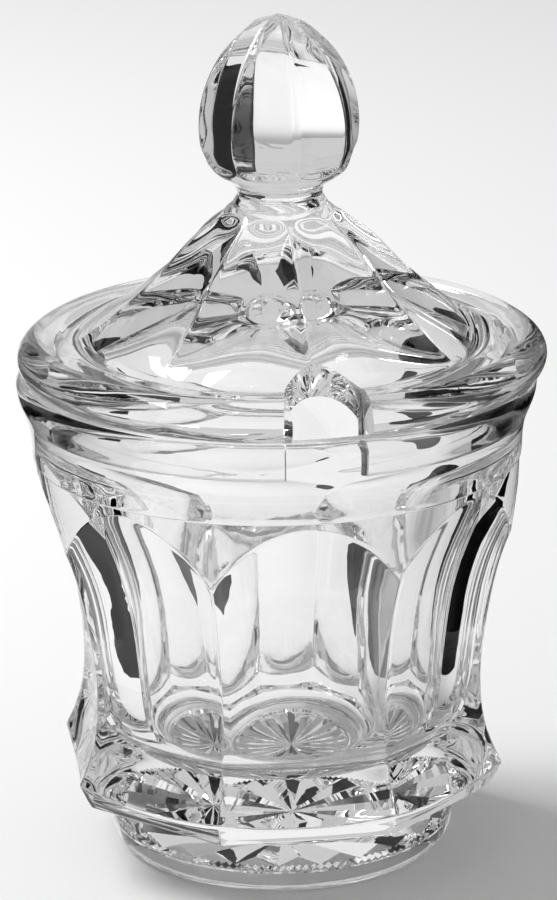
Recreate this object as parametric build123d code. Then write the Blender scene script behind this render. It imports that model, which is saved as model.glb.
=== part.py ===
from build123d import *
import math
import os

os.makedirs("parts", exist_ok=True)

# A pressed-glass mustard pot and its loose lid. Millimetres, +Z up.
# The origin is the centre of the ring that the foot stands on.
# The spoon notch in the lid faces -Y, over the middle of a body panel.

SIDES = 8
STEP = 360.0 / SIDES
HALF_STEP = STEP / 2

# How far a cutting tool runs past what it cuts
OVERRUN = 1.0
FAR = 60.0

# Foot and flange of the pot
FOOT_RADIUS = 26.4
FOOT_BASE_RADIUS = 24.0
FOOT_ROUND_HEIGHT = 4.0
COVE_START_HEIGHT = 8.4
COVE_RUN = 2.0
FLANGE_BOTTOM_HEIGHT = 10.8
FLANGE_BOTTOM_APOTHEM = 30.75
FLANGE_SIDE_HEIGHT = 9.0
FLANGE_SIDE_FLARE = 3.9

# Eight hollow panels, each ground out by one large upright round cutter
PANEL_CUTTER_DISTANCE = 103.0
WAIST_HEIGHT = 27.5
WAIST_PANEL_RADIUS = 28.4
FLARE_FOOT_HEIGHT = 11.5
FLARE_FOOT_PANEL_RADIUS = 32.75
FLARE_MID_HEIGHT = 16.5
FLARE_MID_PANEL_RADIUS = 30.45
FLARE_TOP_HEIGHT = 21.0
FLARE_TOP_PANEL_RADIUS = 29.05
BELLY_HEIGHT = 41.0
BELLY_PANEL_RADIUS = 29.65
CUSP_HEIGHT = 52.3
CUSP_PANEL_RADIUS = 32.4
ARCH_HEIGHT = 62.0
ARCH_PANEL_RADIUS = 37.0
ARCH_RISE = 5.0
ARCH_OUTRUN = 2.3

# Round upper band and rim of the pot
SHOULDER_RADIUS = 36.2
CUSP_RADIUS = 36.4
BAND_FOOT_HEIGHT = 62.8
BAND_FOOT_RADIUS = 36.9
BAND_STEP = 0.25
BAND_MID_HEIGHT = 69.0
BAND_MID_RADIUS = 37.9
RIM_RADIUS = 39.4
RIM_WIDE_HEIGHT = 74.0
SEAT_HEIGHT = 75.6
RIM_EDGE_ROUND = 0.9
MOUTH_RADIUS = 36.0
MOUTH_EDGE_ROUND = 0.8

# Inside of the pot
THROAT_HEIGHT = 68.5
THROAT_RADIUS = 35.75
WALL_AT_CUSP = 2.8
WALL_AT_BELLY = 3.0
WALL_AT_WAIST = 3.2
WELL_HEIGHT = 20.0
WELL_RADIUS = 23.2
FLOOR_HEIGHT = 15.4
FLOOR_FLAT_RADIUS = 13.0
FLOOR_CORNER_RADIUS = 19.6
FLOOR_CORNER_RISE = 1.6

# Star pressed into the underside
RECESS_RADIUS = 22.2
RECESS_DEPTH = 3.0
STAR_RAYS = 20
STAR_RADIUS = 18.6
STAR_DEPTH = 1.5
STAR_LAND = 0.12
STAR_EYE_RADIUS = 1.0
STAR_CUT_LAP = 0.02
COMB_TEETH = 120
COMB_INNER_RADIUS = 19.4
COMB_OUTER_RADIUS = 21.8
COMB_DEPTH = 0.5
COMB_LAND = 0.12

# Lid
LID_PLAY = 0.9
LID_TURN = 2.4
LID_RADIUS = 40.0
LID_WIDE_RISE = 2.5
LID_UNDER_EDGE_RADIUS = 38.4
SHOULDER_TOP_RISE = 5.8
SHOULDER_TOP_RADIUS = 36.0
DOME_FOOT_RADIUS = 31.4
COLLAR_RADIUS = 7.2
COLLAR_RISE = 25.7
NECK_RADIUS = 6.35
NECK_RISE = 27.2

# Radius and rise of the dome's skin as it is before the flutes are scooped out
DOME_PROFILE = [(9.0, 24.2), (10.2, 23.4), (13.0, 22.2), (16.0, 19.3), (20.0, 15.1), (25.0, 10.8), (29.0, 7.7)]

# Radius, rise of the crest between two flutes, rise of the flute's own floor
FLUTE_STATIONS = [
    (7.4, 25.7, 26.1),
    (8.4, 24.9, 24.6),
    (9.6, 23.95, 22.7),
    (11.2, 22.8, 20.8),
    (13.0, 21.45, 18.95),
    (15.0, 19.5, 16.8),
    (17.0, 17.3, 14.65),
    (19.2, 15.0, 12.5),
    (21.6, 12.85, 10.6),
    (24.0, 10.9, 8.95),
    (26.6, 8.85, 7.4),
    (29.0, 7.15, 6.2),
    (31.2, 5.9, 5.55),
    (33.4, 6.0, 5.75),
    (36.0, 7.6, 7.0),
]
FLUTE_OVERLAP = 1.12
FLUTE_COLUMNS = 15

# Locating ring under the lid, and the hollow inside it
RING_CLEARANCE = 1.8
RING_WALL = 3.0
RING_DEPTH = 6.3
RING_EDGE_ROUND = 0.7
HOLLOW_CROWN_RISE = 12.4
HOLLOW_EDGE_RISE = 0.6

# Spoon notch
NOTCH_WIDTH = 11.8
NOTCH_END_RADIUS_FROM_AXIS = 27.1
NOTCH_TURN = 1.3

# Finial
FINIAL_RADIUS = 12.1
FINIAL_WIDE_RISE = 37.4
FINIAL_TIP_RISE = 54.6
FINIAL_TIP_GROUND = 0.1
FINIAL_TIP_ROUND = 12.0
FACET_SHARE = 0.93
FACET_ARCH_RISE = 32.0

# Rise and radius of the finial's side, from the neck to its widest and on to the tip
FINIAL_CUP = [(28.6, 6.8), (30.4, 9.3), (32.4, 10.95), (34.6, 11.8)]
FINIAL_NUT = [
    (FINIAL_WIDE_RISE, FINIAL_RADIUS),
    (40.4, 11.9),
    (43.4, 11.2),
    (46.4, 9.95),
    (48.9, 8.4),
    (51.4, 6.0),
    (53.2, 3.7),
]


def upright(points):
    """Turn (radius, height) pairs into points on the XZ plane."""
    return [(radius, 0.0, height) for radius, height in points]


def turned(edges):
    """Spin a closed half section about the Z axis."""
    return revolve(make_face(edges), Axis.Z)


def polar_copies(tool, count, start=0.0):
    """Copies of one tool, evenly spaced about the Z axis."""
    return [tool.rotate(Axis.Z, start + step * 360.0 / count) for step in range(count)]


def pot_blank():
    """The pot as a plain turned shape, before the panels are cut."""
    foot_start = (FOOT_BASE_RADIUS, 0.0)
    foot_side = (FOOT_RADIUS, FOOT_ROUND_HEIGHT)
    cove = (FOOT_RADIUS, COVE_START_HEIGHT)
    under = (FOOT_RADIUS + COVE_RUN, FLANGE_BOTTOM_HEIGHT)
    corner = (SHOULDER_RADIUS, FLANGE_BOTTOM_HEIGHT)
    cusp = (CUSP_RADIUS, CUSP_HEIGHT)
    band_foot = (BAND_FOOT_RADIUS, BAND_FOOT_HEIGHT)
    band_step = (BAND_FOOT_RADIUS + BAND_STEP, BAND_FOOT_HEIGHT + BAND_STEP)
    rim_edge = (RIM_RADIUS - RIM_EDGE_ROUND, SEAT_HEIGHT)
    shoulder_low = (SHOULDER_RADIUS, (FLANGE_BOTTOM_HEIGHT + CUSP_HEIGHT) / 2)
    p = upright([(0.0, 0.0), foot_start, foot_side, cove, under, corner, shoulder_low, cusp])
    q = upright([band_foot, band_step, (BAND_MID_RADIUS, BAND_MID_HEIGHT), (RIM_RADIUS, RIM_WIDE_HEIGHT)])
    r = upright([rim_edge, (0.0, SEAT_HEIGHT)])
    edges = [
        Line(p[0], p[1]),
        TangentArc(p[2], p[1], tangent=(0, 0, -1)),
        Line(p[2], p[3]),
        TangentArc(p[3], p[4], tangent=(0, 0, 1)),
        Line(p[4], p[5]),
        Line(p[5], p[6]),
        Line(p[6], p[7]),
        Line(p[7], q[0]),
        Line(q[0], q[1]),
        Spline(q[1], q[2], q[3], tangents=((0.05, 0, 1), (0, 0, 1))),
        TangentArc(q[3], r[0], tangent=(0, 0, 1)),
        Line(r[0], r[1]),
        Line(r[1], p[0]),
    ]
    return turned(edges)


def flange_trim():
    """Ring-shaped tool that leaves the flange eight-sided, with leaning sides."""
    lean = FLANGE_SIDE_FLARE / FLANGE_SIDE_HEIGHT
    low = Plane.XY.offset(FLANGE_BOTTOM_HEIGHT - OVERRUN)
    high = Plane.XY.offset(FLANGE_BOTTOM_HEIGHT + FLANGE_SIDE_HEIGHT)
    low_size = FLANGE_BOTTOM_APOTHEM - lean * OVERRUN
    high_size = FLANGE_BOTTOM_APOTHEM + FLANGE_SIDE_FLARE
    octagons = [
        low * Rot(0, 0, HALF_STEP) * RegularPolygon(low_size, SIDES, major_radius=False),
        high * Rot(0, 0, HALF_STEP) * RegularPolygon(high_size, SIDES, major_radius=False),
    ]
    middle = FLANGE_BOTTOM_HEIGHT + (FLANGE_SIDE_HEIGHT - OVERRUN) / 2
    sleeve = Pos(0, 0, middle) * Cylinder(FAR, FLANGE_SIDE_HEIGHT)
    return sleeve - loft(octagons, ruled=True)


def panel_cutter():
    """Upright round cutter for the panel that faces -Y."""
    heights = [
        (FLARE_FOOT_HEIGHT, FLARE_FOOT_PANEL_RADIUS),
        (FLARE_MID_HEIGHT, FLARE_MID_PANEL_RADIUS),
        (FLARE_TOP_HEIGHT, FLARE_TOP_PANEL_RADIUS),
        (WAIST_HEIGHT, WAIST_PANEL_RADIUS),
        (BELLY_HEIGHT, BELLY_PANEL_RADIUS),
        (CUSP_HEIGHT, CUSP_PANEL_RADIUS),
        (ARCH_HEIGHT, ARCH_PANEL_RADIUS),
        (ARCH_HEIGHT + ARCH_RISE, ARCH_PANEL_RADIUS + ARCH_OUTRUN),
    ]
    points = [(PANEL_CUTTER_DISTANCE - radius, 0.0, height) for height, radius in heights]
    top = points[-1]
    bottom = points[0]
    face = make_face(
        [
            Spline(*points),
            Line(top, (0.0, 0.0, top[2])),
            Line((0.0, 0.0, top[2]), (0.0, 0.0, bottom[2])),
            Line((0.0, 0.0, bottom[2]), bottom),
        ]
    )
    return Pos(0, -PANEL_CUTTER_DISTANCE, 0) * revolve(face, Axis.Z)


def cavity():
    """The inside of the pot, from the floor out past the rim."""
    mouth_low = (MOUTH_RADIUS, SEAT_HEIGHT - MOUTH_EDGE_ROUND)
    mouth_top = (MOUTH_RADIUS + MOUTH_EDGE_ROUND, SEAT_HEIGHT)
    wall = [
        (THROAT_RADIUS, THROAT_HEIGHT),
        (CUSP_PANEL_RADIUS - WALL_AT_CUSP, CUSP_HEIGHT),
        (BELLY_PANEL_RADIUS - WALL_AT_BELLY, BELLY_HEIGHT),
        (WAIST_PANEL_RADIUS - WALL_AT_WAIST, WAIST_HEIGHT),
        (WELL_RADIUS, WELL_HEIGHT),
        (FLOOR_CORNER_RADIUS, FLOOR_HEIGHT + FLOOR_CORNER_RISE),
        (FLOOR_FLAT_RADIUS, FLOOR_HEIGHT),
    ]
    top = upright([(0.0, SEAT_HEIGHT + FAR), (MOUTH_RADIUS + MOUTH_EDGE_ROUND, SEAT_HEIGHT + FAR)])
    p = upright([mouth_top, mouth_low])
    w = upright(wall)
    floor = (0.0, 0.0, FLOOR_HEIGHT)
    edges = [
        Line(top[0], top[1]),
        Line(top[1], p[0]),
        TangentArc(p[1], p[0], tangent=(0, 0, 1)),
        Line(p[1], w[0]),
        Spline(*w, tangents=((-0.12, 0, -1), (-1, 0, 0))),
        Line(w[-1], floor),
        Line(floor, top[0]),
    ]
    return turned(edges)


def groove(inner, outer, half_inner, half_outer, depth_inner, depth_outer, base):
    """A roof-shaped groove along +X, opening downwards from the height given by base."""
    near = Polyline(
        (inner, -half_inner, base), (inner, half_inner, base), (inner, 0.0, base + depth_inner), close=True
    )
    far = Polyline(
        (outer, -half_outer, base), (outer, half_outer, base), (outer, 0.0, base + depth_outer), close=True
    )
    return loft([make_face(near), make_face(far)], ruled=True)


def star():
    """Recess in the underside with the star and the ring of fine teeth."""
    skin = STAR_CUT_LAP
    height = RECESS_DEPTH + 2 * OVERRUN
    recess = Pos(0, 0, RECESS_DEPTH - height / 2) * Cylinder(RECESS_RADIUS, height)
    base = RECESS_DEPTH - skin
    inner = STAR_EYE_RADIUS
    slope = math.tan(math.pi / STAR_RAYS)
    ray = groove(
        inner,
        STAR_RADIUS,
        inner * slope - STAR_LAND / 2,
        STAR_RADIUS * slope - STAR_LAND / 2,
        STAR_DEPTH * inner / STAR_RADIUS + skin,
        STAR_DEPTH + skin,
        base,
    )
    pitch = math.tan(math.pi / COMB_TEETH)
    tooth = groove(
        COMB_INNER_RADIUS,
        COMB_OUTER_RADIUS,
        COMB_INNER_RADIUS * pitch - COMB_LAND / 2,
        COMB_OUTER_RADIUS * pitch - COMB_LAND / 2,
        COMB_DEPTH + skin,
        COMB_DEPTH + skin,
        base,
    )
    return recess, polar_copies(ray, STAR_RAYS), polar_copies(tooth, COMB_TEETH)


def make_pot():
    recess, rays, teeth = star()
    body = pot_blank() - flange_trim()
    body = body - polar_copies(panel_cutter(), SIDES)
    body = body - cavity()
    body = body - recess
    body = body - rays
    return body - teeth


def lid_blank():
    """Dome, shoulder and neck of the lid as one turned shape on the lid's own axis."""
    seat = SEAT_HEIGHT
    under = (LID_UNDER_EDGE_RADIUS, seat)
    wide = (LID_RADIUS, seat + LID_WIDE_RISE)
    shoulder = (SHOULDER_TOP_RADIUS, seat + SHOULDER_TOP_RISE)
    dome_foot = (DOME_FOOT_RADIUS, seat + SHOULDER_TOP_RISE)
    collar = (COLLAR_RADIUS, seat + COLLAR_RISE)
    neck = (NECK_RADIUS, seat + NECK_RISE)
    dome = [collar] + [(radius, seat + rise) for radius, rise in DOME_PROFILE] + [dome_foot]
    p = upright([(0.0, seat), under, wide, shoulder, dome_foot, collar, neck, (0.0, seat + NECK_RISE)])
    edges = [
        Line(p[0], p[1]),
        TangentArc(p[2], p[1], tangent=(0, 0, -1)),
        Spline(p[2], p[3], tangents=((0, 0, 1), (-1, 0, 0))),
        Line(p[3], p[4]),
        Spline(*upright(dome)),
        Line(p[5], p[6]),
        Line(p[6], p[7]),
        Line(p[7], p[0]),
    ]
    return turned(edges)


def flute_cutter():
    """Scoop for the flute that lies along +X; its underside is the flute's surface."""
    rows = []
    half = math.radians(HALF_STEP)
    for radius, crest, floor in FLUTE_STATIONS:
        row = []
        for column in range(FLUTE_COLUMNS):
            share = FLUTE_OVERLAP * (2.0 * column / (FLUTE_COLUMNS - 1) - 1.0)
            height = SEAT_HEIGHT + floor + (crest - floor) * share**2
            row.append((radius * math.cos(share * half), radius * math.sin(share * half), height))
        rows.append(row)
    surface = Face.make_surface_from_array_of_points(rows, tol=0.001, min_deg=3)
    return extrude(surface, amount=FAR, dir=(0, 0, 1))


def lid_hollow():
    """The space under the lid, inside the locating ring."""
    inner = MOUTH_RADIUS - RING_CLEARANCE - RING_WALL
    edge = (inner, SEAT_HEIGHT + HOLLOW_EDGE_RISE)
    crown = (0.0, SEAT_HEIGHT + HOLLOW_CROWN_RISE)
    low = (inner, SEAT_HEIGHT - RING_DEPTH - OVERRUN)
    p = upright([crown, edge, low, (0.0, low[1])])
    edges = [
        Spline(p[0], p[1], tangents=((1, 0, -0.05), (0.8, 0, -0.6))),
        Line(p[1], p[2]),
        Line(p[2], p[3]),
        Line(p[3], p[0]),
    ]
    return turned(edges)


def locating_ring():
    """Ring under the lid that keeps it in the mouth."""
    outer = MOUTH_RADIUS - RING_CLEARANCE
    height = RING_DEPTH + OVERRUN
    ring = Pos(0, 0, SEAT_HEIGHT + OVERRUN - height / 2) * Cylinder(outer, height)
    low = ring.edges().group_by(Axis.Z)[0]
    return fillet(low, RING_EDGE_ROUND)


def spoon_notch():
    """Through cut with a round inner end, open at the lid's edge."""
    centre = NOTCH_END_RADIUS_FROM_AXIS + NOTCH_WIDTH / 2
    end = Pos(0, -centre, SEAT_HEIGHT) * Cylinder(NOTCH_WIDTH / 2, FAR)
    run = LID_RADIUS + OVERRUN - centre
    way = Pos(0, -centre - run / 2, SEAT_HEIGHT) * Box(NOTCH_WIDTH, run, FAR)
    return (end + way).rotate(Axis.Z, NOTCH_TURN)


def finial():
    """Acorn-shaped knob with eight facets that run out in small arches below."""
    seat = SEAT_HEIGHT
    outline = [(radius, seat + rise) for rise, radius in FINIAL_CUP + FINIAL_NUT]
    tip = (0.0, seat + FINIAL_TIP_RISE)
    neck = (NECK_RADIUS, seat + NECK_RISE)
    neck_low = (NECK_RADIUS, seat + COLLAR_RISE - OVERRUN)
    p = upright([neck, *outline, tip])
    core = turned(
        [
            Spline(*p, tangents=((0.1, 0, 1), (-1, 0, 0))),
            Line(p[-1], (0.0, 0.0, neck_low[1])),
            Line((0.0, 0.0, neck_low[1]), (neck_low[0], 0.0, neck_low[1])),
            Line((neck_low[0], 0.0, neck_low[1]), p[0]),
        ]
    )
    for slab in facet_slabs():
        core = core & slab
    return core - tip_grinder()


def facet_slabs():
    """Four slabs whose curved sides are the facets, two facets to each slab."""
    seat = SEAT_HEIGHT
    outside = FINIAL_RADIUS + OVERRUN
    low = (outside, seat + COLLAR_RISE - 2 * OVERRUN)
    arch = [(outside, seat + NECK_RISE), (FINIAL_RADIUS * FACET_SHARE, seat + FACET_ARCH_RISE)]
    nut = [(radius * FACET_SHARE, seat + rise) for rise, radius in FINIAL_NUT]
    tip = (0.0, seat + FINIAL_TIP_RISE)
    right = [*arch, *nut, tip]
    a = upright([low, *right])
    b = upright([(-radius, height) for radius, height in [low, *right]])
    face = make_face(
        [
            Line(b[0], a[0]),
            Line(a[0], a[1]),
            Spline(*a[1:], tangents=((-0.6, 0, 1), (-1, 0, 0))),
            Spline(*b[1:], tangents=((0.6, 0, 1), (1, 0, 0))),
            Line(b[1], b[0]),
        ]
    )
    slab = extrude(face, amount=FAR, both=True)
    return [slab.rotate(Axis.Z, HALF_STEP + STEP * turn) for turn in range(SIDES // 2)]


def tip_grinder():
    """Takes the sharp point off the finial and leaves it slightly round."""
    top = SEAT_HEIGHT + FINIAL_TIP_RISE - FINIAL_TIP_GROUND
    block = Pos(0, 0, top) * Cylinder(FINIAL_TIP_ROUND / 3, 2 * OVERRUN)
    return block - Pos(0, 0, top - FINIAL_TIP_ROUND) * Sphere(FINIAL_TIP_ROUND)


def make_lid():
    flutes = polar_copies(flute_cutter(), SIDES, HALF_STEP)
    body = lid_blank() - flutes
    body = body + locating_ring() + finial()
    body = body - lid_hollow()
    body = body - spoon_notch()
    return Pos(LID_PLAY, 0, 0) * body.rotate(Axis.Z, LID_TURN)


def save(name, shape):
    solids = shape.solids()
    solid = solids[0]
    solid.label = name
    export_step(solid, f"parts/{name}.step")
    box = solid.bounding_box()
    print(name, "solids", len(solids), "valid", solid.is_valid, "volume", round(solid.volume, 1))
    print(name, "low", box.min, "high", box.max)


save("pot", make_pot())
save("lid", make_lid())
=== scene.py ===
import math
import bpy
import numpy as np
from mathutils import Matrix, Vector


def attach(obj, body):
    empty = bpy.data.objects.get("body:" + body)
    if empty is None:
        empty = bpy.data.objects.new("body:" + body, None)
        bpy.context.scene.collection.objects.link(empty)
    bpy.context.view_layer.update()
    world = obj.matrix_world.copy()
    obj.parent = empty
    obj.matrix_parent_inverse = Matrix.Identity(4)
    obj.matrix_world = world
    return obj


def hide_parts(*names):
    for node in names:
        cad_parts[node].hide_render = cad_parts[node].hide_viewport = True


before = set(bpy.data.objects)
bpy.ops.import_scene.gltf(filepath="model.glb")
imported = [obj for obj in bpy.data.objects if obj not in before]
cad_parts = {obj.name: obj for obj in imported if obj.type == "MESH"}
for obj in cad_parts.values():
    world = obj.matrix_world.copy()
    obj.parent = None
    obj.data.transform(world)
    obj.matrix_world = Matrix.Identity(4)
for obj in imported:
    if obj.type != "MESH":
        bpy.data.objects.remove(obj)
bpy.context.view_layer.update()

# A pressed-glass mustard pot with a loose fluted lid. Sizes are in millimetres
# and angles in degrees, and MM turns a size into Blender's metres.
MM = 0.001
SIDES = 8
SECTOR = 360.0 / SIDES

# How finely the skins are drawn, and how soft their edges are
SECTOR_COLUMNS = 30
COLUMN = SECTOR / SECTOR_COLUMNS
FINE = 360
HALVINGS = 40
WELD = 0.002
CREASE_ANGLE = 38.0
EVEN_WEIGHT = 90
SOFT = 0.2
EDGE_ROUND = 0.18
KEEP = 4.0

# Rings of points on each stretch of the pot and of the lid
LINE_POINTS = 3
FOOT_ROUND_POINTS = 9
COVE_POINTS = 7
FLANGE_ROWS = 5
BAND_ROWS = 8
LIP_POINTS = 16
RIM_ROUND_POINTS = 8
MOUTH_ROUND_POINTS = 6
WALL_POINTS = 52
FLOOR_POINTS = 4
CROWN_POINTS = 30
RING_INSIDE_POINTS = 6
RING_ROUND_POINTS = 6
RING_OUTSIDE_POINTS = 5
UNDER_POINTS = 4
LID_ROUND_POINTS = 8
SHOULDER_POINTS = 16
SHOULDER_ROWS = 5
COLLAR_ROWS = 7
NECK_ROWS = 4
FINIAL_ROWS = 12
TIP_STEP = 10

# The pot, from the resting ring up
STAR_RAYS = 20
STAR_RADIUS = 18.6
STAR_DEPTH = 1.5
COMB_TEETH = 120
COMB_INNER_RADIUS = 19.4
COMB_OUTER_RADIUS = 21.8
COMB_DEPTH = 0.5
RECESS_RADIUS = 22.2
RECESS_DEPTH = 3.0
PRESS_LEAN = 0.05
STAR_ROWS = (1.0, 3.0, 6.0, 10.0, 14.0, STAR_RADIUS - PRESS_LEAN)
COMB_ROWS = (COMB_INNER_RADIUS + PRESS_LEAN, COMB_OUTER_RADIUS - PRESS_LEAN)
COMB_LAND = [(COMB_OUTER_RADIUS, RECESS_DEPTH)]
RECESS_WALL = [
    (RECESS_RADIUS - SOFT, RECESS_DEPTH),
    (RECESS_RADIUS, RECESS_DEPTH - SOFT),
    (RECESS_RADIUS, SOFT),
]
FOOT_BASE_RADIUS = 24.0
FOOT_EDGE = [(RECESS_RADIUS + SOFT, 0.0), (FOOT_BASE_RADIUS - SOFT, 0.0)]
FOOT_RADIUS = 26.4
FOOT_ROUND_HEIGHT = 4.0
COVE_START_HEIGHT = 8.4
COVE_RUN = 2.0
FLANGE_BOTTOM_HEIGHT = 10.8
FLANGE_BOTTOM_APOTHEM = 30.75
FLANGE_SIDE_FLARE = 3.9
FLANGE_SIDE_HEIGHT = 9.0
FLANGE_SLOPE = FLANGE_SIDE_FLARE / FLANGE_SIDE_HEIGHT
FLANGE_EDGE = [(0.5, 0.0), (0.22, 0.0), (0.06, 0.06), (0.0, 0.25)]
FLANGE_TOP_LOW, FLANGE_TOP_HIGH = 11.6, 19.0
ARCH_LOW, ARCH_HIGH = 46.0, 62.6
PANEL_ROWS = 62
PANEL_CUTTER_DISTANCE = 103.0
PANEL_MID_LINE = [
    (11.5, 32.75),
    (16.5, 30.45),
    (21.0, 29.05),
    (27.5, 28.4),
    (41.0, 29.65),
    (52.3, 32.4),
    (62.0, 37.0),
    (67.0, 39.3),
]
BAND_LINE = [(10.8, 36.2), (31.55, 36.2), (52.3, 36.4), (62.8, 36.9)]
BAND_FOOT_HEIGHT = 62.8
BAND_STEP = 0.25
BAND_RISE = [(37.15, 63.05), (37.9, 69.0), (39.4, 74.0)]
BAND_RISE_WAY = (0.05, 1.0)
RIM_RADIUS = 39.4
RIM_WIDE_HEIGHT = 74.0
SEAT_HEIGHT = 75.6
RIM_EDGE_ROUND = 0.9
MOUTH_RADIUS = 36.0
MOUTH_EDGE_ROUND = 0.8
CAVITY_LINE = [
    (35.75, 68.0),
    (29.6, 52.3),
    (26.65, 41.0),
    (25.2, 27.5),
    (23.2, 20.0),
    (19.6, 17.0),
    (13.0, 15.4),
]
CAVITY_WAY = (-6.15, -15.7)
FLOOR_HEIGHT = 15.4
FLOOR_EYE_RADIUS = 3.25

# The lid; rises are measured up from the pot's rim
LID_RADIUS = 40.0
LID_WIDE_RISE = 2.5
LID_UNDER_EDGE_RADIUS = 38.4
SHOULDER_TOP_RISE = 5.8
SHOULDER_TOP_RADIUS = 36.0
NECK_RADIUS = 6.35
NECK_RISE = 27.2
DOME_LINE = [
    (7.2, 25.7),
    (9.0, 24.2),
    (10.2, 23.4),
    (13.0, 22.2),
    (16.0, 19.3),
    (20.0, 15.1),
    (25.0, 10.8),
    (29.0, 7.7),
    (31.4, 5.8),
]
FLUTE_STATIONS = [
    (7.4, 25.7, 26.1),
    (8.4, 24.9, 24.6),
    (9.6, 23.95, 22.7),
    (11.2, 22.8, 20.8),
    (13.0, 21.45, 18.95),
    (15.0, 19.5, 16.8),
    (17.0, 17.3, 14.65),
    (19.2, 15.0, 12.5),
    (21.6, 12.85, 10.6),
    (24.0, 10.9, 8.95),
    (26.6, 8.85, 7.4),
    (29.0, 7.15, 6.2),
    (31.2, 5.9, 5.55),
    (33.4, 6.0, 5.75),
    (36.0, 7.6, 7.0),
]
FLUTE_ROWS = 56
SCALLOP_LOW, SCALLOP_HIGH = 30.6, 35.8
TOP_ARCH_LOW, TOP_ARCH_HIGH = 7.6, 12.6
RING_OUTER_RADIUS = 34.2
RING_INNER_RADIUS = 31.2
RING_DEPTH = 6.3
RING_EDGE_ROUND = 0.7
HOLLOW_EDGE_RISE = 0.6
HOLLOW_CROWN_RISE = 12.4
HOLLOW_WAYS = ((1.0, -0.05), (0.8, -0.6))
NOTCH_WIDTH = 11.8
NOTCH_END = 27.1
NOTCH_TURN = 1.3
NOTCH_STEPS = 40
LID_TURN = 2.4
LID_PLAY = 0.9
FINIAL_LINE = [
    (27.2, 6.35),
    (28.6, 6.8),
    (30.4, 9.3),
    (32.4, 10.95),
    (34.6, 11.8),
    (37.4, 12.1),
    (40.4, 11.9),
    (43.4, 11.2),
    (46.4, 9.95),
    (48.9, 8.4),
    (51.4, 6.0),
    (53.2, 3.7),
    (54.5, 0.0),
]
WIDEST = 5
FACETS_FROM = 3
CUP_FROM = 1
TIP_LEAN = 0.45
FINIAL_WAYS = ((0.1, 1.0), (-1.0, TIP_LEAN))
FACET_SHARE = 0.93
FACET_FOOT = (13.1, 27.2)
FACET_WAYS = ((-1.0, 1.0), (-FACET_SHARE, TIP_LEAN))
REST_GAP = 0.04

# The camera, fitted to the outlines in the photograph
PHOTO_HEIGHT = 900
FOCAL_PIXELS = 4616.0
SENSOR = 36.0
CAMERA_PLACE = (-78.45, -663.6, 277.4)
CAMERA_AIM = (0.11202, 0.94532, -0.30632)
CAMERA_UP = (0.04887, 0.30265, 0.95185)

# Finishes and the studio
GLASS_TINT = "fdfdfd"
GLASS_ROUGHNESS = 0.0
SODA_LIME_IOR = 1.52
CHILL_WAVE = 9.0
CHILL_HEIGHT = 0.05
CHILL_DETAIL = 2.0
SKIN_GRAIN = 1.6
SKIN_HEIGHT = 0.002
SKIN_DETAIL = 3.0
LID_GRAIN_SHIFT = 0.3
PAPER = "f0f0f0"
CARD = "050505"
ROOM = "e8e8e8"
ROOM_LIGHT = 0.55
WALL = "cdcdcd"
FLOOR_REACH = 2500.0
FLOOR_GAP = 0.03
BOUNCES = 24

# Corners of the black cards that only the glass shows
CARDS = {
    "card_left": [(-90, -45, 0), (-62, 120, 0), (-62, 120, 200), (-90, -45, 200)],
    "card_right": [(62, 40, 0), (95, -45, 0), (95, -45, 200), (62, 40, 200)],
    "card_right_back": [(62, 40, 0), (112, 300, 0), (112, 300, 200), (62, 40, 200)],
}

# Name, place, target, size and watts of each lamp
LAMPS = [
    ("softbox", (-520, 320, 760), (0, 0, 60), (520, 520), 8.0),
]


# Curves


def spline(points, count, start=None, end=None):
    """Points on the smooth curve through the given ones; start and end set its end directions."""
    p = np.array(points, float)
    run = np.linalg.norm(np.diff(p, axis=0), axis=1)
    last = len(p) - 1
    rows = np.zeros((last + 1, last + 1))
    right = np.zeros_like(p)
    for i in range(1, last):
        rows[i, i - 1 : i + 2] = run[i], 2 * (run[i - 1] + run[i]), run[i - 1]
        right[i] = 3 * (run[i] / run[i - 1] * (p[i] - p[i - 1]) + run[i - 1] / run[i] * (p[i + 1] - p[i]))
    first_end = (0, 1, start, (p[1] - p[0]) / run[0])
    last_end = (last, last - 1, end, (p[-1] - p[-2]) / run[-1])
    for at, inner, way, chord in (first_end, last_end):
        rows[at, at] = 1 if way is not None else 2
        rows[at, inner] = 0 if way is not None else 1
        right[at] = np.array(way) / np.linalg.norm(way) if way is not None else 3 * chord
    slope = np.linalg.solve(rows, right)
    knots = np.concatenate([[0.0], np.cumsum(run)])
    place = np.linspace(0.0, knots[-1], count)
    i = np.clip(np.searchsorted(knots, place, side="right") - 1, 0, last - 1)
    h = run[i][:, None]
    s = (place - knots[i])[:, None] / h
    ends = (1 + 2 * s) * (1 - s) ** 2 * p[i] + s**2 * (3 - 2 * s) * p[i + 1]
    return ends + h * s * (1 - s) ** 2 * slope[i] - h * s**2 * (1 - s) * slope[i + 1]


def arc(start, end, way, count):
    """Points on the round arc that leaves start in the direction given and reaches end."""
    p = np.array(start, float)
    reach = np.array(end, float) - p
    along = np.array(way, float) / np.linalg.norm(way)
    across = np.array([-along[1], along[0]])
    radius = reach @ reach / (2 * (across @ reach))
    turn = np.linspace(0.0, 2 * math.atan2(across @ reach, along @ reach), count)[:, None]
    return p + across * radius * (1 - np.cos(turn)) + along * radius * np.sin(turn)


def line(start, end, count):
    return np.linspace(start, end, count)


def crossing(gap, low, high):
    """Where gap turns from negative to positive between low and high, for a whole row at once."""
    for halving in range(HALVINGS):
        middle = (low + high) / 2
        under = gap(middle) < 0
        low = np.where(under, middle, low)
        high = np.where(under, high, middle)
    return (low + high) / 2


# Skins that repeat round the axis


def border(radius, keep):
    """Half angle of a sector's columns at this radius, which leaves a soft edge at its border."""
    soft = math.degrees(EDGE_ROUND / max(radius, EDGE_ROUND))
    return SECTOR / 2 - min(soft, keep)


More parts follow.
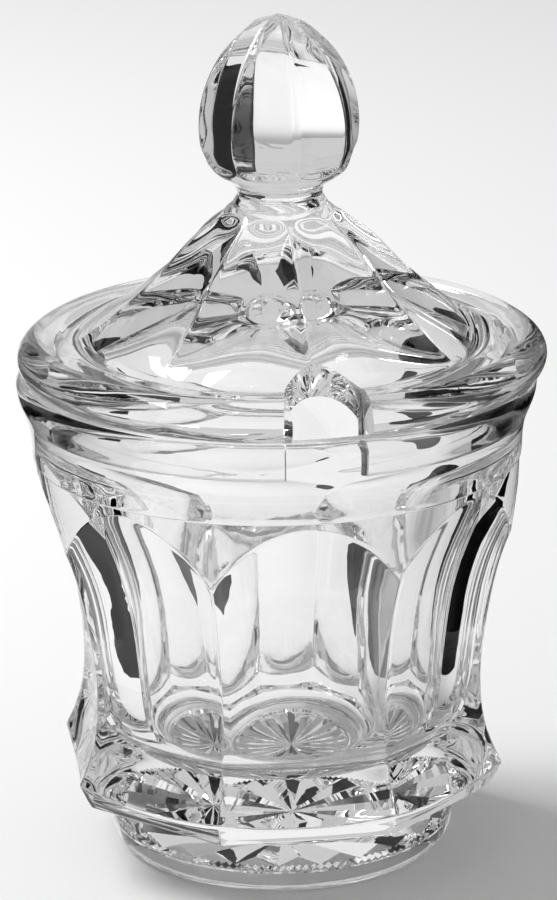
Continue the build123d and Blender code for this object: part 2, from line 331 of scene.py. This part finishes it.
def spread(limit, sectors):
    """Column angles from the -Y axis: SECTOR_COLUMNS in each sector, inside its limit."""
    one = np.linspace(-limit, limit, SECTOR_COLUMNS)
    return np.concatenate([one + SECTOR * k for k in range(sectors)])


def ring(angles, radii, heights):
    turn = np.radians(angles - 90.0)
    radii = np.broadcast_to(radii, turn.shape)
    heights = np.broadcast_to(heights, turn.shape)
    return np.stack([radii * np.cos(turn), radii * np.sin(turn), heights], axis=1)


def wedge_mesh(name, rings, share, first, last):
    """A wedge of skin that reaches the first column of the next wedge, so copies of it close up."""
    turn = math.radians(share)
    cos, sin = math.cos(turn), math.sin(turn)
    grid = np.stack(rings)
    seam = grid[:, :1] @ np.array([[cos, sin, 0], [-sin, cos, 0], [0, 0, 1]])
    grid = np.concatenate([grid, seam], axis=1)
    rows, columns = grid.shape[:2]
    points = np.concatenate([grid.reshape(-1, 3), [(0, 0, first), (0, 0, last)]]) * MM
    low_pole, high_pole = rows * columns, rows * columns + 1
    faces = []
    for i in range(rows - 1):
        at = i * columns
        faces += [(at + j, at + j + 1, at + columns + j + 1, at + columns + j) for j in range(columns - 1)]
    top = (rows - 1) * columns
    faces += [(low_pole, j + 1, j) for j in range(columns - 1)]
    faces += [(top + j, top + j + 1, high_pole) for j in range(columns - 1)]
    mesh = bpy.data.meshes.new(name)
    mesh.from_pydata(points.tolist(), [], faces)
    mesh.validate()
    return mesh


def add_node(tree, kind, settings=None, links=None):
    """Add one node; settings go to its fields or sockets, links bring other nodes' outputs in."""
    node = tree.nodes.new(kind)
    for key, value in (settings or {}).items():
        if isinstance(key, int) or key in node.inputs.keys():
            node.inputs[key].default_value = value
        else:
            setattr(node, key, value)
    for key, output in (links or {}).items():
        tree.links.new(output, node.inputs[key])
    return node


def repeat_tree():
    """Copies of a wedge round the Z axis, welded into one skin, with one material."""
    tree = bpy.data.node_groups.new("Wedges round the axis", "GeometryNodeTree")
    face = tree.interface
    face.new_socket("Wedge", in_out="INPUT", socket_type="NodeSocketGeometry")
    face.new_socket("Copies", in_out="INPUT", socket_type="NodeSocketInt")
    face.new_socket("Weld distance", in_out="INPUT", socket_type="NodeSocketFloat")
    face.new_socket("Glass", in_out="INPUT", socket_type="NodeSocketMaterial")
    face.new_socket("Skin", in_out="OUTPUT", socket_type="NodeSocketGeometry")
    given = add_node(tree, "NodeGroupInput")
    index = add_node(tree, "GeometryNodeInputIndex")
    spots = add_node(
        tree,
        "GeometryNodeMeshLine",
        {"mode": "OFFSET", "Offset": (0, 0, 0)},
        {"Count": given.outputs["Copies"]},
    )
    step = add_node(
        tree,
        "ShaderNodeMath",
        {"operation": "DIVIDE"},
        {0: index.outputs[0], 1: given.outputs["Copies"]},
    )
    turn = add_node(tree, "ShaderNodeMath", {"operation": "MULTIPLY", 1: 2 * math.pi}, {0: step.outputs[0]})
    spin = add_node(tree, "ShaderNodeCombineXYZ", links={"Z": turn.outputs[0]})
    copies = add_node(
        tree,
        "GeometryNodeInstanceOnPoints",
        links={"Points": spots.outputs[0], "Instance": given.outputs["Wedge"], "Rotation": spin.outputs[0]},
    )
    real = add_node(tree, "GeometryNodeRealizeInstances", links={0: copies.outputs[0]})
    weld = add_node(
        tree,
        "GeometryNodeMergeByDistance",
        links={0: real.outputs[0], "Distance": given.outputs["Weld distance"]},
    )
    smooth = add_node(tree, "GeometryNodeSetShadeSmooth", links={0: weld.outputs[0]})
    glass = add_node(
        tree,
        "GeometryNodeSetMaterial",
        links={0: smooth.outputs[0], "Material": given.outputs["Glass"]},
    )
    add_node(tree, "NodeGroupOutput", links={0: glass.outputs[0]})
    return tree


def repeated(name, wedge, copies, glass):
    """The whole skin from its wedge, as a plain mesh object."""
    base = bpy.data.objects.new(name + "_wedge", wedge)
    bpy.context.scene.collection.objects.link(base)
    tree = repeat_tree()
    sizes = {"Copies": copies, "Weld distance": WELD * MM, "Glass": glass}
    layer = base.modifiers.new("Wedges", "NODES")
    layer.node_group = tree
    for socket in tree.interface.items_tree:
        if socket.name in sizes:
            layer[socket.identifier] = sizes[socket.name]
    return settled(base, name)


def settled(source, name):
    """A new object whose plain mesh holds what the source's modifiers make; the source goes."""
    bpy.context.view_layer.update()
    graph = bpy.context.evaluated_depsgraph_get()
    mesh = bpy.data.meshes.new_from_object(source.evaluated_get(graph), depsgraph=graph)
    mesh.name = name
    bpy.data.objects.remove(source)
    made = bpy.data.objects.new(name, mesh)
    bpy.context.scene.collection.objects.link(made)
    return made


def finished(piece):
    """Keep the real creases crisp and let broad faces set the shading of soft edges."""
    name = piece.name
    piece.data.set_sharp_from_angle(angle=math.radians(CREASE_ANGLE))
    even = piece.modifiers.new("Even", "WEIGHTED_NORMAL")
    even.keep_sharp = True
    even.weight = EVEN_WEIGHT
    return settled(piece, name)


# The pot


def pressed_underside():
    """Rings of the star and comb pressed into the recess, from the centre outwards."""
    even = (np.arange(2 * SECTOR_COLUMNS) - SECTOR_COLUMNS // 2 + 1) * COLUMN
    ray = 360.0 / STAR_RAYS
    tooth = 360.0 / COMB_TEETH
    star = 1 - np.abs((even + ray / 2) % ray - ray / 2) / (ray / 2)
    comb = 1 - np.abs((even + tooth / 2) % tooth - tooth / 2) / (tooth / 2)
    rings = [ring(even, r, RECESS_DEPTH + STAR_DEPTH * r / STAR_RADIUS * star) for r in STAR_ROWS]
    rings += [ring(even, r, RECESS_DEPTH) for r in (STAR_RADIUS, COMB_INNER_RADIUS)]
    rings += [ring(even, r, RECESS_DEPTH + COMB_DEPTH * comb) for r in COMB_ROWS]
    for radius, height in np.concatenate([COMB_LAND, RECESS_WALL, FOOT_EDGE]):
        rings.append(ring(even, radius, height))
    return rings


def pot_rings():
    keep = spread(border(FOOT_RADIUS + COVE_RUN, SECTOR / 2), 2)
    local = (keep + SECTOR / 2) % SECTOR - SECTOR / 2
    cos = np.cos(np.radians(local))
    sin = np.sin(np.radians(local))
    mid = spline([(r, z) for z, r in PANEL_MID_LINE], FINE)

    def panel(height):
        reach = PANEL_CUTTER_DISTANCE - np.interp(height, mid[:, 1], mid[:, 0])
        return PANEL_CUTTER_DISTANCE * cos - np.sqrt(reach**2 - (PANEL_CUTTER_DISTANCE * sin) ** 2)

    def flange(height):
        return (FLANGE_BOTTOM_APOTHEM + FLANGE_SLOPE * (height - FLANGE_BOTTOM_HEIGHT)) / cos

    def band(height):
        return np.interp(height, [z for z, r in BAND_LINE], [r for z, r in BAND_LINE])

    level = np.zeros_like(keep)
    foot_arch = crossing(lambda z: flange(z) - panel(z), level + FLANGE_TOP_LOW, level + FLANGE_TOP_HIGH)
    top_arch = crossing(lambda z: panel(z) - band(z), level + ARCH_LOW, level + ARCH_HIGH)

    def between(low, high, count):
        return [low + (high - low) * share for share in np.linspace(0, 1, count)]

    rings = pressed_underside()
    foot_side = (FOOT_RADIUS, FOOT_ROUND_HEIGHT)
    cove = (FOOT_RADIUS, COVE_START_HEIGHT)
    flange_under = (FOOT_RADIUS + COVE_RUN, FLANGE_BOTTOM_HEIGHT)
    side = np.concatenate(
        [
            arc(foot_side, (FOOT_BASE_RADIUS, 0), (0, -1), FOOT_ROUND_POINTS)[::-1][1:],
            line(foot_side, cove, LINE_POINTS)[1:],
            arc(cove, flange_under, (0, 1), COVE_POINTS)[1:],
        ]
    )
    rings += [ring(keep, r, z) for r, z in side]
    bottom = FLANGE_BOTTOM_HEIGHT
    rings += [ring(keep, flange(bottom) - inset, bottom + rise) for inset, rise in FLANGE_EDGE]
    low = level + bottom + FLANGE_EDGE[-1][1]
    rings += [ring(keep, flange(z), z) for z in between(low, foot_arch - EDGE_ROUND, FLANGE_ROWS)[1:]]
    panel_low, panel_high = foot_arch + EDGE_ROUND, top_arch - EDGE_ROUND
    rings += [ring(keep, panel(z), z) for z in between(panel_low, panel_high, PANEL_ROWS)]
    band_top = level + BAND_FOOT_HEIGHT - BAND_STEP / 2
    rings += [ring(keep, band(z), z) for z in between(top_arch + EDGE_ROUND, band_top, BAND_ROWS)]
    rim_side = (RIM_RADIUS, RIM_WIDE_HEIGHT)
    rim_top = (RIM_RADIUS - RIM_EDGE_ROUND, SEAT_HEIGHT)
    mouth_top = (MOUTH_RADIUS + MOUTH_EDGE_ROUND, SEAT_HEIGHT)
    mouth_low = (MOUTH_RADIUS, SEAT_HEIGHT - MOUTH_EDGE_ROUND)
    lip = np.concatenate(
        [
            [(BAND_RISE[0][0] - BAND_STEP / 2, BAND_FOOT_HEIGHT)],
            spline(BAND_RISE, LIP_POINTS, BAND_RISE_WAY, (0, 1)),
            arc(rim_side, rim_top, (0, 1), RIM_ROUND_POINTS)[1:],
            line(rim_top, mouth_top, LINE_POINTS)[1:],
            arc(mouth_low, mouth_top, (0, 1), MOUTH_ROUND_POINTS)[::-1][1:],
            line(mouth_low, CAVITY_LINE[0], LINE_POINTS)[1:],
            spline(CAVITY_LINE, WALL_POINTS, CAVITY_WAY, (-1, 0))[1:],
            line(CAVITY_LINE[-1], (FLOOR_EYE_RADIUS, FLOOR_HEIGHT), FLOOR_POINTS)[1:],
        ]
    )
    rings += [ring(keep, r, z) for r, z in lip]
    return rings


# The lid


def lid_under():
    """Half section of everything below the lid's skin, from the hollow's crown to the shoulder."""
    crown = (0, HOLLOW_CROWN_RISE)
    hollow_edge = (RING_INNER_RADIUS, HOLLOW_EDGE_RISE)
    ring_inside = (RING_INNER_RADIUS, SOFT - RING_DEPTH)
    round_low = (RING_OUTER_RADIUS - RING_EDGE_ROUND, -RING_DEPTH)
    round_high = (RING_OUTER_RADIUS, RING_EDGE_ROUND - RING_DEPTH)
    ring_top = (RING_OUTER_RADIUS, REST_GAP - SOFT)
    wide = (LID_RADIUS, LID_WIDE_RISE)
    under = (LID_UNDER_EDGE_RADIUS, REST_GAP)
    shoulder = (SHOULDER_TOP_RADIUS, SHOULDER_TOP_RISE)
    return np.concatenate(
        [
            spline([crown, hollow_edge], CROWN_POINTS, HOLLOW_WAYS[0], HOLLOW_WAYS[1])[1:],
            line(hollow_edge, ring_inside, RING_INSIDE_POINTS)[1:],
            line((RING_INNER_RADIUS + SOFT, -RING_DEPTH), round_low, LINE_POINTS),
            arc(round_low, round_high, (1, 0), RING_ROUND_POINTS)[1:],
            line(round_high, ring_top, RING_OUTSIDE_POINTS)[1:],
            line((RING_OUTER_RADIUS + SOFT, REST_GAP), under, UNDER_POINTS),
            arc(wide, under, (0, -1), LID_ROUND_POINTS)[::-1][1:],
            spline([wide, shoulder], SHOULDER_POINTS, (0, 1), (-1, 0))[1:],
        ]
    )


def lid_rings():
    stations = np.array(FLUTE_STATIONS)
    crest = spline(stations[:, [0, 1]], FINE)
    floor = spline(stations[:, [0, 2]], FINE)
    dome = spline(DOME_LINE, FINE)
    dome = dome[np.argsort(dome[:, 0])]

    def blank(radius):
        over = np.interp(radius, dome[:, 0], dome[:, 1])
        return np.where(radius > DOME_LINE[-1][0], SHOULDER_TOP_RISE, over)

    def angles(radius):
        return spread(border(float(radius), KEEP), 1)

    def flute(radius, turn):
        low = np.interp(radius, floor[:, 0], floor[:, 1])
        high = np.interp(radius, crest[:, 0], crest[:, 1])
        return low + (high - low) * (turn / (SECTOR / 2)) ** 2

    rings = [ring(angles(r), r, z) for r, z in lid_under()]
    foot = angles(DOME_LINE[-1][0])
    head = angles(TOP_ARCH_HIGH)
    level = np.zeros_like(foot)
    outer = crossing(lambda r: flute(r, foot) - blank(r), level + SCALLOP_LOW, level + SCALLOP_HIGH)
    inner = crossing(lambda r: blank(r) - flute(r, head), level + TOP_ARCH_LOW, level + TOP_ARCH_HIGH)
    for share in np.linspace(0, 1, SHOULDER_ROWS)[1:]:
        radius = SHOULDER_TOP_RADIUS + (outer + EDGE_ROUND - SHOULDER_TOP_RADIUS) * share
        rings.append(ring(foot, radius, SHOULDER_TOP_RISE))
    for share in np.linspace(0, 1, FLUTE_ROWS):
        radius = outer - EDGE_ROUND + (inner + EDGE_ROUND - outer + EDGE_ROUND) * share
        turn = angles(radius.mean())
        rings.append(ring(turn, radius, flute(radius, turn)))
    for share in np.linspace(0, 1, COLLAR_ROWS)[:-1]:
        radius = inner - EDGE_ROUND + (DOME_LINE[0][0] - inner + EDGE_ROUND) * share
        turn = angles(radius.mean())
        rings.append(ring(turn, radius, np.interp(radius, dome[:, 0], dome[:, 1])))
    rings += [ring(angles(r), r, z) for r, z in line(DOME_LINE[0], (NECK_RADIUS, NECK_RISE), NECK_ROWS)]
    return rings + finial_rings()


def finial_rings():
    core = spline([(r, z) for z, r in FINIAL_LINE], FINE, FINIAL_WAYS[0], FINIAL_WAYS[1])
    nut = [(FACET_SHARE * r, z) for z, r in FINIAL_LINE[FACETS_FROM:]]
    facet = spline([FACET_FOOT] + nut, FINE, FACET_WAYS[0], FACET_WAYS[1])
    turn = spread(border(FINIAL_LINE[WIDEST][1], KEEP), 1)
    cos = np.cos(np.radians(turn))

    def round_side(height):
        return np.interp(height, core[:, 1], core[:, 0])

    def flat_side(height):
        return np.interp(height, facet[:, 1], facet[:, 0]) / cos

    wide = FINIAL_LINE[WIDEST][0]
    level = np.zeros_like(turn)
    low = level + FINIAL_LINE[CUP_FROM][0]
    arch = crossing(lambda z: round_side(z) - flat_side(z), low, level + wide)
    arch = np.minimum(arch, wide - 2 * EDGE_ROUND)
    rings = []
    for share in np.linspace(0, 1, FINIAL_ROWS)[1:]:
        height = NECK_RISE + (arch - EDGE_ROUND - NECK_RISE) * share
        rings.append(ring(turn, round_side(height), height))
    for share in np.linspace(0, 1, FINIAL_ROWS)[:-1]:
        height = arch + EDGE_ROUND + (wide - arch - EDGE_ROUND) * share
        rings.append(ring(turn, np.minimum(round_side(height), flat_side(height)), height))
    upper = core[core[:, 1] >= wide]
    for height in upper[::TIP_STEP, 1][:-1]:
        radius = np.minimum(round_side(height), flat_side(height))
        keep = border(max(float(radius.mean()), 1.0), KEEP)
        rings.append(ring(spread(keep, 1), radius, height))
    return rings


def notch_tool():
    """Upright cutter: a round inner end and a straight run out past the lid's edge."""
    half = NOTCH_WIDTH / 2
    centre = NOTCH_END + half
    out = LID_RADIUS + half
    bend = [(half * math.cos(a), -centre + half * math.sin(a)) for a in np.linspace(0, math.pi, NOTCH_STEPS)]
    outline = [(half, -out)] + bend + [(-half, -out)]
    low, high = -2 * RING_DEPTH, NECK_RISE
    count = len(outline)
    points = [(x * MM, y * MM, z * MM) for z in (low, high) for x, y in outline]
    faces = [(i, (i + 1) % count, count + (i + 1) % count, count + i) for i in range(count)]
    faces += [tuple(range(count))[::-1], tuple(range(count, 2 * count))]
    mesh = bpy.data.meshes.new("notch_tool")
    mesh.from_pydata(points, [], faces)
    return mesh


def make_lid(glass):
    wedge = wedge_mesh("lid_wedge", lid_rings(), SECTOR, HOLLOW_CROWN_RISE, FINIAL_LINE[-1][0])
    lid = repeated("lid", wedge, SIDES, glass)
    lid.data.transform(Matrix.Rotation(math.radians(SECTOR / 2), 4, "Z"))
    cutter = bpy.data.objects.new("notch_tool", notch_tool())
    cutter.data.materials.append(glass)
    cutter.data.transform(Matrix.Rotation(math.radians(NOTCH_TURN), 4, "Z"))
    bpy.context.scene.collection.objects.link(cutter)
    cut = lid.modifiers.new("Spoon notch", "BOOLEAN")
    cut.operation = "DIFFERENCE"
    cut.solver = "MANIFOLD"
    cut.object = cutter
    lid = settled(lid, "lid")
    bpy.data.objects.remove(cutter)
    place = Matrix.Translation((LID_PLAY * MM, 0, SEAT_HEIGHT * MM))
    lid.data.transform(place @ Matrix.Rotation(math.radians(LID_TURN), 4, "Z"))
    return finished(lid)


def make_pot(glass):
    first, last = RECESS_DEPTH, FLOOR_HEIGHT
    wedge = wedge_mesh("pot_wedge", pot_rings(), 2 * SECTOR, first, last)
    return finished(repeated("pot", wedge, SIDES // 2, glass))


# Finishes


def linear(code):
    """An sRGB hex colour as Blender's linear RGBA."""
    parts = [int(code[i : i + 2], 16) / 255 for i in (0, 2, 4)]
    return tuple([c / 12.92 if c <= 0.04045 else ((c + 0.055) / 1.055) ** 2.4 for c in parts]) + (1.0,)


def new_material(name):
    material = bpy.data.materials.new(name)
    material.use_nodes = True
    material.node_tree.nodes.clear()
    return material, material.node_tree


def pressed_glass(name, offset):
    """Soda-lime glass pressed in an iron mould and fire polished: clear, hard gloss, faintly wavy."""
    material, tree = new_material(name)
    where = add_node(tree, "ShaderNodeTexCoord")
    moved = add_node(
        tree,
        "ShaderNodeMapping",
        {"Location": (offset, 0, 0)},
        {"Vector": where.outputs["Object"]},
    )
    chill = add_node(
        tree,
        "ShaderNodeTexNoise",
        {"Scale": 1 / (CHILL_WAVE * MM), "Detail": CHILL_DETAIL},
        {"Vector": moved.outputs[0]},
    )
    skin = add_node(
        tree,
        "ShaderNodeTexNoise",
        {"Scale": 1 / (SKIN_GRAIN * MM), "Detail": SKIN_DETAIL},
        {"Vector": moved.outputs[0]},
    )
    waves = add_node(tree, "ShaderNodeBump", {"Distance": CHILL_HEIGHT * MM}, {"Height": chill.outputs[0]})
    fine = add_node(
        tree,
        "ShaderNodeBump",
        {"Distance": SKIN_HEIGHT * MM},
        {"Height": skin.outputs[0], "Normal": waves.outputs[0]},
    )
    surface = add_node(
        tree,
        "ShaderNodeBsdfPrincipled",
        {
            "Base Color": linear(GLASS_TINT),
            "Roughness": GLASS_ROUGHNESS,
            "IOR": SODA_LIME_IOR,
            "Transmission Weight": 1.0,
        },
        {"Normal": fine.outputs[0]},
    )
    add_node(tree, "ShaderNodeOutputMaterial", links={"Surface": surface.outputs[0]})
    return material


def sweep_paper():
    """Matt white paper that the pot stands on."""
    material, tree = new_material("matt_white_paper_sweep")
    paper = add_node(tree, "ShaderNodeBsdfDiffuse", {"Color": linear(PAPER)})
    add_node(tree, "ShaderNodeOutputMaterial", links={"Surface": paper.outputs[0]})
    return material


def black_card():
    """Matt black card that gives the clear glass its dark streaks."""
    material, tree = new_material("black_card")
    card = add_node(tree, "ShaderNodeBsdfDiffuse", {"Color": linear(CARD)})
    add_node(tree, "ShaderNodeOutputMaterial", links={"Surface": card.outputs[0]})
    return material


# The studio


def sheet(name, corners, material):
    mesh = bpy.data.meshes.new(name)
    mesh.from_pydata([[v * MM for v in c] for c in corners], [], [tuple(range(len(corners)))])
    mesh.materials.append(material)
    made = bpy.data.objects.new(name, mesh)
    bpy.context.scene.collection.objects.link(made)
    return made


def lamp(name, place, target, size, power):
    light = bpy.data.lights.new(name, "AREA")
    light.shape = "RECTANGLE"
    light.size, light.size_y = size[0] * MM, size[1] * MM
    light.energy = power
    made = bpy.data.objects.new(name, light)
    spot = Vector(place) * MM
    made.location = spot
    made.rotation_euler = (Vector(target) * MM - spot).to_track_quat("-Z", "Y").to_euler()
    bpy.context.scene.collection.objects.link(made)


def make_world():
    world = bpy.data.worlds.new("white_room")
    bpy.context.scene.world = world
    world.use_nodes = True
    tree = world.node_tree
    tree.nodes.clear()
    path = add_node(tree, "ShaderNodeLightPath")
    straight = add_node(
        tree,
        "ShaderNodeMath",
        {"operation": "MAXIMUM"},
        {0: path.outputs["Is Camera Ray"], 1: path.outputs["Is Glossy Ray"]},
    )
    seen = add_node(
        tree,
        "ShaderNodeMath",
        {"operation": "MAXIMUM"},
        {0: straight.outputs[0], 1: path.outputs["Is Transmission Ray"]},
    )
    room = add_node(tree, "ShaderNodeBackground", {"Color": linear(ROOM), "Strength": ROOM_LIGHT})
    wall = add_node(tree, "ShaderNodeBackground", {"Color": linear(WALL), "Strength": 1.0})
    mix = add_node(
        tree,
        "ShaderNodeMixShader",
        links={0: seen.outputs[0], 1: room.outputs[0], 2: wall.outputs[0]},
    )
    add_node(tree, "ShaderNodeOutputWorld", links={"Surface": mix.outputs[0]})


def make_camera():
    aim = Vector(CAMERA_AIM).normalized()
    up = (Vector(CAMERA_UP) - Vector(CAMERA_UP).dot(aim) * aim).normalized()
    right = aim.cross(up)
    turn = Matrix((right, up, -aim)).transposed().to_4x4()
    data = bpy.data.cameras.new("camera")
    data.sensor_width = SENSOR
    data.lens = FOCAL_PIXELS / PHOTO_HEIGHT * SENSOR
    camera = bpy.data.objects.new("camera", data)
    camera.matrix_world = Matrix.Translation(Vector(CAMERA_PLACE) * MM) @ turn
    bpy.context.scene.collection.objects.link(camera)
    bpy.context.scene.camera = camera


def make_studio():
    reach, low = FLOOR_REACH, -FLOOR_GAP
    corners = [(-reach, -reach, low), (reach, -reach, low), (reach, reach, low), (-reach, reach, low)]
    sheet("floor", corners, sweep_paper())
    card = black_card()
    for name, corners in CARDS.items():
        made = sheet(name, corners, card)
        made.visible_camera = False
        made.visible_diffuse = False
        made.visible_shadow = False
    for name, place, target, size, power in LAMPS:
        lamp(name, place, target, size, power)
    scene = bpy.context.scene
    scene.view_settings.view_transform = "Standard"
    scene.cycles.max_bounces = BOUNCES
    scene.cycles.transmission_bounces = BOUNCES
    scene.cycles.glossy_bounces = BOUNCES
    scene.cycles.use_denoising = True


make_camera()
make_world()
make_studio()
pot = make_pot(pressed_glass("pressed_soda_lime_glass_pot", 0.0))
lid = make_lid(pressed_glass("pressed_soda_lime_glass_lid", LID_GRAIN_SHIFT))
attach(pot, "pot_body")
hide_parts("pot")
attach(lid, "lid_body")
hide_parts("lid")
